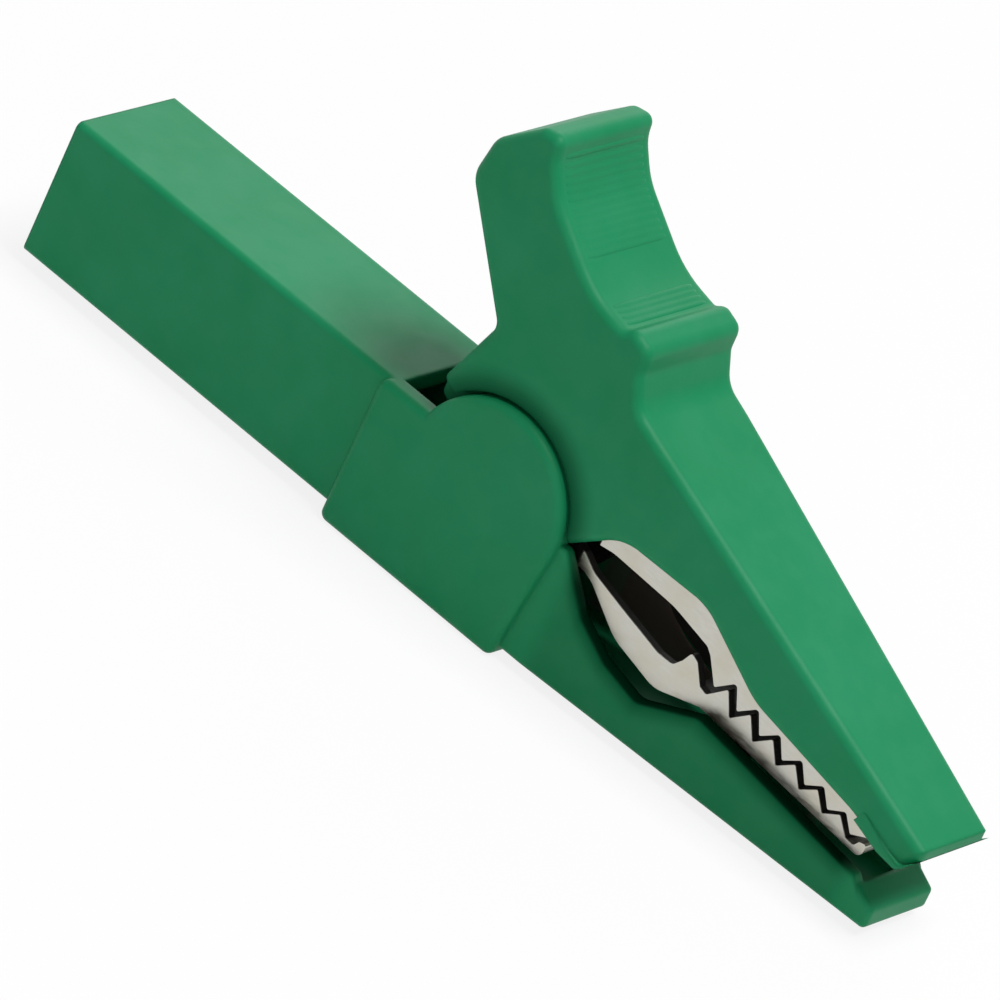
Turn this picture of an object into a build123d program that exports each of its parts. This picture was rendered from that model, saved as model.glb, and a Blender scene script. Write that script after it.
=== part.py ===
"""Insulated crocodile clip with a shrouded 4 mm socket in its square tail, modelled in millimetres.

+X points from the tail to the nose, +Y across the clip and +Z up. The origin is on the surface that
the clip lies on, under the middle of its length. The jaws are modelled closed.
"""
from build123d import *
from math import atan2, cos, degrees, radians, sin, sqrt, tan
import os

# Driving dimensions of the lower housing: tail, cheeks and lower jaw cover
body_width = 11.2  # the tail is this wide and this high, and both housings are this wide
tail_length = 31.0  # rear face to the cheeks
tail_edge = 0.5  # rounding of the tail's long edges
tail_step = 0.25  # the tail's underside lies this far above the jaw cover's
cheek_proud = 0.75  # the cheeks stand out this far, at the sides and below the jaw cover
cheek_thickness = 1.7
cheek_radius = 7.0  # the cheek's round top, about the hinge axis
cheek_corner = 0.7
cheek_setback = 11.0  # the cheeks' rear edge to the hinge axis
cheek_toe = 5.9  # the hinge axis to the cheeks' front edge at the bottom
hinge_height = 9.0  # above the jaw cover's underside
pocket_lip = 1.0  # the tail's top wall runs this far in between the cheeks
lower_reach = 39.6  # hinge axis to the lower nose
lower_nose_width = 7.5
lower_taper_start = 7.9  # ahead of the hinge axis
wall = 1.0  # side walls of both jaw covers
floor = 1.2
nose_wall = 2.0
nose_face = 1.7  # height of the lower nose's front face
nose_rise = 2.65  # height of the lower nose wall's inner edge
shell_edge = 0.45  # rounding of the outer edges of the jaw covers
rim_edge = 0.4  # rounding of the lower jaw cover's wavy rim
lower_ribs = (22.5, 31.0)  # ahead of the hinge axis
rib_thickness = 1.0
rib_half_width = 1.6
rib_root = 0.2  # how deep a rib is sunk in the wall that it stands on

# Driving dimensions of the upper housing: jaw cover, ears and lever
upper_reach = 41.2  # hinge axis to the upper nose
upper_nose_width = 8.1
upper_taper_start = 9.9
roof_slope = 22.5  # degrees that the jaw cover's roof falls towards the nose
roof_height = 12.15  # of the roof's rear end above the hinge axis
roof_start = 9.5  # of the roof's rear end ahead of the hinge axis
roof_corner = 7.9  # where the roof meets the lever's front
roof_thickness = 1.4
upper_nose_face = 0.85
nose_depth = 2.15  # from the roof's front edge down to the upper nose's underside
lip_length = 5.6  # the lip at the upper nose begins this far behind it
lip_flare = 0.45  # how far the lip stands out at the nose
ear_radius = 6.2
ear_gap = 0.1  # running clearance between ear and cheek, and between the metal ears
flank_gap = 0.3  # groove between the cheek's round top and the recess in the upper housing
lever_wall = 1.5
lever_side_wall = 1.5
upper_edge = 0.75  # rounding of the long outer edges
lever_root = 10.0  # above the hinge axis, from where the lever's back edges are rounded too
upper_room_start = 7.0  # ahead of the hinge axis, where the room widens in front of the ears
upper_ribs = (19.0, 30.0)  # ahead of the hinge axis
seat_start = 10.5  # along the spring's upper leg, where it begins to rest on its seat
seat_end = 18.2
seat_half_width = 2.4
trunnion_radius = 2.7
trunnion_length = 0.8
running_gap = 0.05  # radial clearance of what turns
opening_angle = 20.0  # degrees that the jaws open
swing_margin = 1.5  # degrees of extra room for the foot at full opening

# Driving dimensions of the metal jaws, the pin and the spring
sheet = 0.7
jaw_gap = 0.4  # between a metal jaw and its cover
lip_gap = 1.1  # between the metal jaws' front lips and the lower nose wall
tooth_pitch = 2.34
tooth_round = 0.12
notch_round = 0.25  # rounding between the upper teeth
tooth_shrink = 0.12  # each tooth is this much shorter than the one behind it
lower_tooth_start = (20.95, -2.5)  # ahead of the hinge axis and above it
lower_tooth_slope = 9.2  # degrees that the row falls towards the nose
lower_tooth_depth = 1.6
lower_tooth_crest = 0.48  # share of the pitch from a valley to the crest ahead of it
upper_tooth_start = (21.25, -1.62)
upper_tooth_slope = 11.0
upper_tooth_depth = 1.6
upper_tooth_crest = 0.5
lower_web_start = 20.9  # ahead of the hinge axis
lower_web_height = -3.6  # of the lower web's underside there, from the hinge axis
lower_web_fall = 0.115  # per millimetre ahead
upper_web_start = 9.0
upper_web_height = 6.2
upper_web_fall = 0.3
metal_ear_radius = 3.4
lower_joggle = (6.6, 8.1)  # ahead of the hinge axis, where the lower metal jaw widens
upper_joggle = (7.2, 9.0)
lower_web_rear = 18.5
tongue_end = 3.05
tab_rise = 3.0  # of the tab's top above the middle of the tail
pin_radius = 1.5
pin_seat = 0.2  # the pin reaches this far into the trunnions
wire = 0.8
coil_clearance = 0.25
coil_side_gap = 0.3  # between the coil and the ears beside it
coil_pitch = 0.95
lower_leg_length = 9.45
upper_leg_length = 13.6
lower_leg_angle = 207.0  # degrees from +X towards +Z
upper_leg_angle = 104.0
whole_turns = 2

# Driving dimensions of the socket and what holds it
plug_radius = 2.0  # a 4 mm plug pin
plug_depth = 19.0
socket_wall = 0.7
socket_setback = 3.0  # behind the rear face, out of reach of a finger
shroud_radius = 4.2  # takes the fixed sleeve of a shrouded plug
shroud_depth = 24.0
bulkhead = 3.2
flange_radius = 3.6
flange_thickness = 1.0
spigot_radius = 2.3
fit_gap = 0.03
tongue_gap = 0.05
screw_radius = 1.5
screw_length = 4.0
screw_head_radius = 2.7
screw_head_height = 1.6
washer_radius = 2.6
washer_thickness = 0.7

# Places worked out from the sizes above
overall_length = tail_length + cheek_setback + upper_reach
rear_x = -overall_length / 2
cheek_x = rear_x + tail_length
hinge_x = cheek_x + cheek_setback
deck = cheek_proud
hinge_z = deck + hinge_height
tail_bottom_z = deck + tail_step
shelf_z = tail_bottom_z + body_width
tail_mid_z = tail_bottom_z + body_width / 2
lower_nose_x = hinge_x + lower_reach
upper_nose_x = hinge_x + upper_reach
floor_z = deck + floor
half_body = body_width / 2
half_cheek = half_body + cheek_proud
cheek_inside = half_cheek - cheek_thickness
ear_outside = cheek_inside - ear_gap
pin_length = 2 * (ear_outside + pin_seat)
lip_rear = lower_reach - nose_wall - lip_gap - sheet  # rear face of the metal jaws' front lips
bulkhead_x = rear_x + shroud_depth
chamber_x = bulkhead_x + bulkhead
pocket_x = cheek_x + pocket_lip
tab_x = chamber_x + tongue_gap
tongue_z = floor_z + tongue_gap
tongue_above = tongue_z - hinge_z
tab_ahead = tab_x - hinge_x
washer_x = tab_x + sheet + tongue_gap
head_x = washer_x + washer_thickness + tongue_gap
shelf_above = tail_step + body_width - hinge_height
coil_radius = pin_radius + coil_clearance + wire / 2
lower_leg_start = lower_leg_angle - 270  # where the coil leaves for the leg, about the pin
upper_leg_start = upper_leg_angle - 90
coil_turns = whole_turns + (upper_leg_start - lower_leg_start) / 360
coil_width = coil_turns * coil_pitch
upper_ear_outside = (coil_width + wire) / 2 + coil_side_gap + sheet
lower_ear_outside = upper_ear_outside + ear_gap + sheet
ear_inside = lower_ear_outside + ear_gap
far = 60.0  # longer than any piece is wide, for cuts that run right through
room_start = ear_radius + ear_gap  # ahead of the hinge axis, where the lower jaw cover's room begins
hinge_space = cheek_radius + 2 * flank_gap  # ahead of the hinge axis, the front of the ears' space


def at(ahead, above):
    """Return a point of the side view, given from the hinge axis."""
    return (hinge_x + ahead, hinge_z + above)


def side_outline(*corners):
    """Draw a closed outline of the side view.

    Each corner is given from the hinge axis, with the radius that rounds it.
    """
    points = [at(ahead, above) for ahead, above, radius in corners]
    FilletPolyline(*points, radius=[radius for ahead, above, radius in corners], close=True)


def roof_z(ahead):
    """Return how high the roof of the upper jaw cover is above the hinge axis."""
    return roof_height - (ahead - roof_start) * tan(radians(roof_slope))


def lower_web_z(ahead):
    """Return how high the underside of the lower jaw's web is above the hinge axis."""
    return lower_web_height - (ahead - lower_web_start) * lower_web_fall


def upper_web_z(ahead):
    """Return how high the top of the upper jaw's web is above the hinge axis."""
    return upper_web_height - (ahead - upper_web_start) * upper_web_fall


def lower_half(ahead):
    """Return half the width of the lower jaw cover."""
    share = (ahead - lower_taper_start) / (lower_reach - lower_taper_start)
    return half_body - (half_body - lower_nose_width / 2) * share


def upper_half(ahead):
    """Return half the width of the upper jaw cover."""
    share = (ahead - upper_taper_start) / (upper_reach - upper_taper_start)
    return half_body - (half_body - upper_nose_width / 2) * share


def tooth_row(start, slope, depth, crest, crest_round):
    """Return the corners of a row of teeth from rear to front.

    The row starts at its first low corner and falls by the slope. Each tooth rises by the depth, less
    what the teeth behind it have lost, and its high corner lies at the crest's share of the pitch.
    """
    level = radians(slope)
    count = int((lip_rear - start[0]) / tooth_pitch)
    corners = []
    for tooth in range(count):
        height = depth - tooth * tooth_shrink
        for along, out, rounding in (
            (tooth * tooth_pitch, 0, tooth_round),
            ((tooth + crest) * tooth_pitch, height, crest_round),
        ):
            ahead = start[0] + along * cos(level) + out * sin(level)
            above = start[1] - along * sin(level) + out * cos(level)
            corners.append((ahead, above, rounding))
    length = count * tooth_pitch
    corners.append((start[0] + length * cos(level), start[1] - length * sin(level), tooth_round))
    return corners


def plan_outline(start, half_nose, reach, inset=0.0):
    """Draw a jaw cover seen from above, straight to the start of its taper, drawn in by the inset."""
    half = [
        (hinge_x - far, half_body - inset),
        (hinge_x + start, half_body - inset),
        (hinge_x + reach, half_nose - inset),
    ]
    Polyline(*half, *[(x, -y) for x, y in reversed(half)], close=True)


def jaw_plan(ear, joggle, inset):
    """Draw a metal jaw seen from above: its ears, the joggle and the taper, drawn in by the inset."""
    joggle_start, joggle_end = joggle
    wide_start = lower_half(joggle_end) - wall - jaw_gap
    wide_end = lower_half(lower_reach) - wall - jaw_gap
    half = [
        (hinge_x - far, ear - inset),
        (hinge_x + joggle_start, ear - inset),
        (hinge_x + joggle_end, wide_start - inset),
        (hinge_x + lower_reach, wide_end - inset),
    ]
    Polyline(*half, *[(x, -y) for x, y in reversed(half)], close=True)


# Lower jaw cover: a trough that narrows towards the nose, with a wavy rim
with BuildPart() as trough:
    with BuildSketch(Plane.XZ):
        with BuildLine():
            side_outline(
                (0, 0.6, 0),
                (7.5, 0.6, 0.5),
                (10.6, -2.85, 3.0),
                (13.6, -4.6, 3.0),
                (17.1, -5.55, 1.6),
                (21.9, -3.45, 1.0),
                (lower_reach - 12.6, -4.25, 6.0),
                (lower_reach - 6.6, -5.25, 6.0),
                (lower_reach - nose_wall - 0.4, -5.9, 0),
                (lower_reach - nose_wall, nose_rise - hinge_height, 0),
                (lower_reach, nose_face - hinge_height, 0.4),
                (lower_reach, -hinge_height, 0),
                (0, -hinge_height, 0),
            )
        make_face()
    extrude(amount=half_body, both=True)
    with BuildSketch(Plane.XY):
        with BuildLine():
            plan_outline(lower_taper_start, lower_nose_width / 2, lower_reach)
        make_face()
    extrude(amount=far, mode=Mode.INTERSECT)
    bottom_edges = trough.edges().group_by(Axis.Z)[0].filter_by(lambda edge: edge.length > 5)
    nose_corners = trough.faces().sort_by(Axis.X)[-1].edges().filter_by(Axis.Z)
    fillet(bottom_edges + nose_corners, shell_edge)
    flanks = trough.faces().filter_by(lambda face: abs(face.normal_at().Y) > 0.9)
    rim = flanks.edges().filter_by(
        lambda edge: edge.center().Z > floor_z and hinge_x < edge.center().X < lower_nose_x - nose_wall
    )
    fillet(rim.filter_by(lambda edge: abs(edge.tangent_at(0.5).Z) < 0.95), rim_edge)

# The room inside the lower jaw cover, above its floor
with BuildPart() as trough_room:
    with BuildSketch(Plane.XY.offset(floor_z)):
        with BuildLine():
            plan_outline(lower_taper_start, lower_nose_width / 2, lower_reach, wall)
        make_face()
    extrude(amount=far)
    with BuildSketch(Plane.XZ):
        with Locations(at((room_start + lower_reach - nose_wall) / 2, 0)):
            Rectangle(lower_reach - nose_wall - room_start, far)
    extrude(amount=far, both=True, mode=Mode.INTERSECT)

# Lower housing: the tail, the cheeks and the jaw cover are one moulding
with BuildPart() as lower_housing:
    with BuildSketch(Plane.YZ.offset(rear_x)):
        with Locations((0, tail_mid_z)):
            RectangleRounded(body_width, body_width, tail_edge)
    extrude(amount=tail_length + cheek_setback / 2)
    with BuildSketch(Plane.XZ):
        with BuildLine():
            side_outline(
                (-cheek_setback, -hinge_z, cheek_corner),
                (-cheek_setback, shelf_above, cheek_corner),
                (0, shelf_above, 0),
                (cheek_radius, 0, 0),
                (cheek_toe, -hinge_z, cheek_corner),
            )
        make_face()
        with Locations(at(0, 0)):
            Circle(cheek_radius)
    extrude(amount=half_cheek, both=True)
    cheek_faces = lower_housing.faces().filter_by(Axis.Y)
    rims = cheek_faces.sort_by(Axis.Y)[0].edges() + cheek_faces.sort_by(Axis.Y)[-1].edges()
    fillet(rims, cheek_corner - 0.1)
    add(trough.part)
    add(trough_room.part, mode=Mode.SUBTRACT)
    # the space between the cheeks, with the pocket that the foot swings into
    with BuildSketch(Plane.XZ):
        with Locations(((pocket_x + hinge_x + hinge_space) / 2, floor_z + far / 2)):
            Rectangle(hinge_x + hinge_space - pocket_x, far)
    extrude(amount=cheek_inside, both=True, mode=Mode.SUBTRACT)
    # the chamber behind it, where the jaw's tab meets the socket
    with BuildSketch(Plane.YZ.offset(chamber_x)):
        with Locations((0, (floor_z + shelf_z - roof_thickness) / 2)):
            Rectangle(2 * (half_body - roof_thickness), shelf_z - roof_thickness - floor_z)
    extrude(amount=pocket_x - chamber_x, mode=Mode.SUBTRACT)
    # the shroud for the plug's sleeve, and the socket's hole in the bulkhead
    with BuildSketch(Plane.YZ.offset(rear_x)):
        with Locations((0, tail_mid_z)):
            Circle(shroud_radius)
    extrude(amount=shroud_depth, mode=Mode.SUBTRACT)
    with BuildSketch(Plane.YZ.offset(bulkhead_x)):
        with Locations((0, tail_mid_z)):
            Circle(spigot_radius + fit_gap)
    extrude(amount=bulkhead, mode=Mode.SUBTRACT)
    # blind bearings for the trunnions, in the cheeks' inner faces
    with BuildSketch(Plane.XZ):
        with Locations(at(0, 0)):
            Circle(trunnion_radius + running_gap)
    extrude(amount=ear_outside + trunnion_length + ear_gap, both=True, mode=Mode.SUBTRACT)
    # ribs that carry the metal jaw's web
    for ahead in lower_ribs:
        with BuildSketch(Plane.XZ):
            with BuildLine():
                side_outline(
                    (ahead, floor - hinge_height - rib_root, 0),
                    (ahead + rib_thickness, floor - hinge_height - rib_root, 0),
                    (ahead + rib_thickness, lower_web_z(ahead + rib_thickness) - tongue_gap, 0),
                    (ahead, lower_web_z(ahead) - tongue_gap, 0),
                )
            make_face()
        extrude(amount=rib_half_width, both=True)
lower_housing.part.label = "lower_housing"

# The room inside the upper housing: over the metal jaw, between the ears and in the lever's back
with BuildPart() as upper_room:
    with BuildSketch(Plane.XY.offset(-far)):
        with BuildLine():
            plan_outline(upper_taper_start, upper_nose_width / 2, upper_reach, wall)
        make_face()
    extrude(amount=2 * far)
    roof_drop = roof_thickness / cos(radians(roof_slope))
    with BuildSketch(Plane.XZ):
        with BuildLine():
            side_outline(
                (upper_room_start, roof_z(upper_room_start) - roof_drop, 0),
                (upper_reach - nose_wall, roof_z(upper_reach - nose_wall) - roof_drop, 0),
                (upper_reach - nose_wall, -far, 0),
                (upper_room_start, -far, 0),
            )
        make_face()
    extrude(amount=far, both=True, mode=Mode.INTERSECT)
    with BuildSketch(Plane.XZ):
        with BuildLine():
            side_outline(
                (5.6, 10.8, 0.8),
                (upper_room_start + 0.1, 10.6, 0),
                (upper_room_start + 0.1, -far, 0),
                (-5.2, -far, 0),
                (-5.2, 6.4, 0),
                (-3.2, 10.6, 0),
                (0, 11.5, 0),
            )
        make_face()
    extrude(amount=ear_inside, both=True)
    with BuildSketch(Plane.XZ):
        with BuildLine():
            side_outline(
                (-3.0, 9.8, 0.5),
                (4.4, 8.9, 1.5),
                (5.1, 15.2, 1.2),
                (0.4, 16.3, 4.0),
                (-5.5, 20.5, 5.0),
                (-7.9, 23.6, 0.8),
                (-10.0, 21.4, 0.8),
                (-14.0, 17.0, 0),
                (-8.6, 11.3, 0),
            )
        make_face()
    extrude(amount=half_body - lever_side_wall, both=True)

# What is cut off the upper housing's flanks so that they pass the cheeks
with BuildPart() as flank_recess:
    with BuildSketch(Plane.XZ):
        swing = radians(opening_angle + swing_margin)
        with BuildLine():
            side_outline(
                (0, shelf_above / cos(swing), 0),
                (-far, (shelf_above + far * sin(swing)) / cos(swing), 0),
                (-far, -far, 0),
                (0, -far, 0),
            )
        make_face()
        with Locations(at(0, 0)):
            Circle(cheek_radius + flank_gap)
    extrude(amount=far, both=True)
    Box(4 * far, 2 * ear_outside, 4 * far, mode=Mode.SUBTRACT)

# The lip at the upper nose stands out from the flanks, more and more towards its front
with BuildPart() as nose_lip:
    nose_z = roof_z(upper_reach) - nose_depth
    with BuildSketch(Plane.XZ):
        with BuildLine():
            side_outline(
                (upper_reach - lip_length, nose_z + 0.96, 0),
                (upper_reach - lip_length + 0.5, nose_z + 2.0, 0.3),
                (upper_reach - 2.3, nose_z + 0.75, 2.0),
                (upper_reach - 1.0, nose_z + 0.42, 0.5),
                (upper_reach, nose_z + 1.3, 0),
                (upper_reach - 1.1, nose_z, 0.6),
                (upper_reach - 3.0, nose_z + 0.18, 1.5),
            )
        make_face()
    extrude(amount=half_body, both=True)
    with BuildSketch(Plane.XY):
        with BuildLine():
            lip_x = upper_nose_x - lip_length
            lip_root = upper_half(upper_reach - lip_length)
            lip_front = upper_nose_width / 2 + lip_flare
            Polyline(
                (lip_x, lip_root),
                (upper_nose_x, lip_front),
                (upper_nose_x, -lip_front),
                (lip_x, -lip_root),
                close=True,
            )
        make_face()
    extrude(amount=far, both=True, mode=Mode.INTERSECT)

# Upper housing: the jaw cover, the ears and the lever are one moulding
with BuildPart() as upper_housing:
    with BuildSketch(Plane.XZ):
        with BuildLine():
            side_outline(
                (-7.0, 3.7, 0.5),
                (-7.0, 5.3, 0.8),
                (-4.95, 10.9, 1.0),
                (-11.7, 19.2, 2.0),
                (-11.2, 22.5, 1.8),
                (-8.0, 25.55, 0.9),
                (-6.2, 25.85, 0.8),
                (-6.05, 24.1, 3.0),
                (-4.45, 21.65, 6.0),
                (0.9, 17.75, 9.0),
                (4.25, 17.05, 0.6),
                (5.1, 17.6, 0.8),
                (6.85, 16.95, 1.0),
                (6.9, 15.1, 1.0),
                (roof_corner, roof_z(roof_corner), 2.2),
                (upper_reach, roof_z(upper_reach), 0),
                (upper_reach, roof_z(upper_reach) - upper_nose_face, 0.5),
                (upper_reach - 1.1, nose_z, 0.6),
                (upper_reach - 3.0, nose_z + 0.18, 1.5),
                (upper_reach - 6.3, -1.95, 3.0),
                (25.0, 0.1, 6.0),
                (18.7, 3.8, 4.5),
                (10.9, 3.95, 4.0),
                (7.35, 1.0, 0),
                (0, 0, 0),
            )
        make_face()
    extrude(amount=half_body, both=True)
    with BuildSketch(Plane.XY):
        with BuildLine():
            plan_outline(upper_taper_start, upper_nose_width / 2, upper_reach)
        make_face()
    extrude(amount=far, mode=Mode.INTERSECT)
    flanks = upper_housing.faces().filter_by(lambda face: abs(face.normal_at().Y) > 0.9)
    outer_edges = flanks.edges().filter_by(
        lambda edge: edge.center().Z > hinge_z + min(roof_z(edge.center().X - hinge_x) - upper_nose_face, lever_root)
        and abs(edge.center().X - hinge_x - upper_taper_start) > 0.01
    )
    fillet(outer_edges, upper_edge)
    add(nose_lip.part)
    add(flank_recess.part, mode=Mode.SUBTRACT)
    add(upper_room.part, mode=Mode.SUBTRACT)
    # ears with trunnions that sit in the cheeks' bearings, and blind bores for the pin
    with BuildSketch(Plane.XZ):
        with Locations(at(0, 0)):
            Circle(ear_radius)
    extrude(amount=ear_outside, both=True)
    with BuildSketch(Plane.XZ):
        with Locations(at(0, 0)):
            Circle(trunnion_radius)
    extrude(amount=ear_outside + trunnion_length, both=True)
    with BuildSketch(Plane.XZ):
        with Locations(at(0, 0)):
            Circle(ear_radius + 0.01)
    extrude(amount=ear_inside, both=True, mode=Mode.SUBTRACT)
    with BuildSketch(Plane.XZ):
        with Locations(at(0, 0)):
            Circle(pin_radius + running_gap)
    extrude(amount=pin_length / 2 + ear_gap, both=True, mode=Mode.SUBTRACT)
    # ribs that carry the metal jaw's web, and the seat of the spring's upper leg
    for ahead in upper_ribs:
        with BuildSketch(Plane.XZ):
            with BuildLine():
                side_outline(
                    (ahead, upper_web_z(ahead) + tongue_gap, 0),
                    (ahead + rib_thickness, upper_web_z(ahead + rib_thickness) + tongue_gap, 0),
                    (ahead + rib_thickness, roof_z(ahead + rib_thickness) - roof_drop + rib_root, 0),
                    (ahead, roof_z(ahead) - roof_drop + rib_root, 0),
                )
            make_face()
        extrude(amount=rib_half_width, both=True)
    leg = radians(upper_leg_angle)
    seat_gap = wire / 2 + fit_gap
    seat_top = (coil_radius * sin(leg) + seat_gap * sin(leg), -coil_radius * cos(leg) - seat_gap * cos(leg))
    with BuildSketch(Plane.XZ):
        with BuildLine():
            side_outline(
                (seat_top[0] + seat_start * cos(leg), seat_top[1] + seat_start * sin(leg), 0.3),
                (seat_top[0] + seat_end * cos(leg), seat_top[1] + seat_end * sin(leg), 0),
                (0.9, 17.0, 0),
                (5.6, 15.4, 0),
                (5.6, 12.2, 0),
            )
        make_face()
    extrude(amount=seat_half_width, both=True)
upper_housing.part.label = "upper_housing"

# The hollow between the lower metal jaw's walls
with BuildPart() as lower_hollow:
    with BuildSketch(Plane.XZ):
        with BuildLine():
            side_outline(
                (tab_ahead + sheet, far, 0),
                (tab_ahead + sheet, tongue_above + sheet, 0),
                (tongue_end, tongue_above + sheet, 0),
                (tongue_end, -far, 0),
                (lower_web_rear, -far, 0),
                (lower_web_rear, lower_web_z(lower_web_rear) - sheet, 0),
                (lower_web_start, lower_web_height + sheet, 0),
                (lip_rear, lower_web_z(lip_rear) + sheet, 0),
                (lip_rear, far, 0),
            )
        make_face()
    extrude(amount=half_body, both=True)
    with BuildSketch(Plane.XY.offset(-far)):
        with BuildLine():
            jaw_plan(lower_ear_outside, lower_joggle, sheet)
        make_face()
    extrude(amount=3 * far, mode=Mode.INTERSECT)

# Lower metal jaw: bent from one strip, with a tab behind, a tongue, two ears and a row of teeth
with BuildPart() as lower_jaw:
    lower_teeth = tooth_row(
        lower_tooth_start, lower_tooth_slope, lower_tooth_depth, lower_tooth_crest, tooth_round
    )
    with BuildSketch(Plane.XZ):
        with BuildLine():
            side_outline(
                (tab_ahead, tongue_above, 0.6),
                (tongue_end, tongue_above, 0),
                (4.0, -6.6, 0),
                (8.0, -0.35, 1.0),
                (9.6, -0.9, 3.0),
                (12.9, -3.4, 4.0),
                (17.2, -4.65, 2.5),
                (lower_web_start, lower_web_height, 0),
                (lip_rear + sheet, lower_web_z(lip_rear + sheet), 0.6),
                (lip_rear + sheet, -4.2, 0.2),
                (lip_rear + 0.1, -4.35, 0.2),
                (lip_rear - 0.2, -4.85, 0.2),
                *reversed(lower_teeth),
                (20.3, -2.3, 0.2),
                (19.35, -0.85, 0.3),
                (18.7, -0.55, 0.25),
                (18.3, -1.45, 0.4),
                (17.7, -2.25, 0.4),
                (16.4, -2.2, 1.0),
                (12.3, -1.05, 4.0),
                (9.5, -0.2, 2.0),
                (8.2, 0.68, 0.3),
                (7.0, 0.75, 1.0),
                (3.0, 2.0, 0),
                (0, 0, 0),
                (-3.4, 0, 0),
                (-3.4, tongue_above + sheet, 1.0),
                (tab_ahead + sheet, tongue_above + sheet, 0),
                (tab_ahead + sheet, tail_mid_z + tab_rise - hinge_z, 0),
                (tab_ahead, tail_mid_z + tab_rise - hinge_z, 0),
            )
        make_face()
        with Locations(at(0, 0)):
            Circle(metal_ear_radius)
    extrude(amount=half_body, both=True)
    with BuildSketch(Plane.XY):
        with BuildLine():
            jaw_plan(lower_ear_outside, lower_joggle, 0)
        make_face()
    extrude(amount=far, mode=Mode.INTERSECT)
    add(lower_hollow.part, mode=Mode.SUBTRACT)
    with BuildSketch(Plane.XZ):
        with Locations(at(0, 0)):
            Circle(pin_radius + fit_gap)
    extrude(amount=half_body, both=True, mode=Mode.SUBTRACT)
    with BuildSketch(Plane.YZ.offset(tab_x - 0.1)):
        with Locations((0, tail_mid_z)):
            Circle(screw_radius + 2 * fit_gap)
    extrude(amount=sheet + 0.2, mode=Mode.SUBTRACT)
lower_jaw.part.label = "lower_jaw"

# The hollow between the upper metal jaw's walls
with BuildPart() as upper_hollow:
    web_drop = sheet / cos(atan2(upper_web_fall, 1))
    with BuildSketch(Plane.XZ):
        with BuildLine():
            side_outline(
                (-far, -far, 0),
                (-far, far, 0),
                (upper_web_start, far, 0),
                (upper_web_start, upper_web_z(upper_web_start) - web_drop, 0),
                (lip_rear, upper_web_z(lip_rear) - web_drop, 0),
                (lip_rear, -far, 0),
            )
        make_face()
    extrude(amount=half_body, both=True)
    with BuildSketch(Plane.XY.offset(-far)):
        with BuildLine():
            jaw_plan(upper_ear_outside, upper_joggle, sheet)
        make_face()
    extrude(amount=3 * far, mode=Mode.INTERSECT)

# Upper metal jaw: a channel with its web at the top, two ears and a row of teeth
with BuildPart() as upper_jaw:
    upper_teeth = tooth_row(
        upper_tooth_start, upper_tooth_slope, upper_tooth_depth, upper_tooth_crest, notch_round
    )
    with BuildSketch(Plane.XZ):
        with BuildLine():
            side_outline(
                (0, 0, 0),
                (3.4, 0, 1.0),
                (7.4, 1.65, 2.0),
                (10.2, 2.0, 4.0),
                (16.0, 1.55, 6.0),
                (19.5, 0.65, 0.6),
                (20.0, 0.2, 0.4),
                *upper_teeth,
                (lip_rear + 0.3, -3.8, 0.3),
                (lip_rear + sheet, -3.65, 0.2),
                (lip_rear + sheet, upper_web_z(lip_rear + sheet), 0.6),
                (upper_web_start - 0.6, upper_web_z(upper_web_start - 0.6), 1.5),
                (6.5, 6.6, 1.5),
                (-2.0, 2.75, 0),
            )
        make_face()
        with Locations(at(0, 0)):
            Circle(metal_ear_radius)
    extrude(amount=half_body, both=True)
    with BuildSketch(Plane.XY):
        with BuildLine():
            jaw_plan(upper_ear_outside, upper_joggle, 0)
        make_face()
    extrude(amount=far, mode=Mode.INTERSECT)
    add(upper_hollow.part, mode=Mode.SUBTRACT)
    with BuildSketch(Plane.XZ):
        with Locations(at(0, 0)):
            Circle(pin_radius + running_gap)
    extrude(amount=half_body, both=True, mode=Mode.SUBTRACT)
upper_jaw.part.label = "upper_jaw"

# Hinge pin, held at its ends by the trunnions' blind bores
with BuildPart() as hinge_pin:
    with BuildSketch(Plane.XZ):
        with Locations(at(0, 0)):
            Circle(pin_radius)
    extrude(amount=pin_length / 2, both=True)
    chamfer(hinge_pin.edges().filter_by(GeomType.CIRCLE), 0.25)
hinge_pin.part.label = "hinge_pin"

# Torsion spring: its lower leg rests on the tongue, its upper leg on the seat in the upper housing
coil_plane = Plane(
    origin=(hinge_x, coil_width / 2, hinge_z),
    x_dir=(cos(radians(lower_leg_start)), 0, sin(radians(lower_leg_start))),
    z_dir=(0, -1, 0),
)
coil_line = coil_plane.location * Helix(pitch=coil_pitch, height=coil_width, radius=coil_radius)
with BuildPart() as torsion_spring:
    with BuildSketch(Plane(origin=coil_line @ 0, z_dir=coil_line % 0)):
        Circle(wire / 2)
    sweep(path=coil_line, is_frenet=True)
    # the legs run straight on from the coil's ends, with the same small slope across the clip
    for end, length in ((0, -lower_leg_length), (1, upper_leg_length)):
        with BuildSketch(Plane(origin=coil_line @ end, z_dir=coil_line % end)):
            Circle(wire / 2)
        extrude(amount=length)
torsion_spring.part.label = "torsion_spring"

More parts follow.
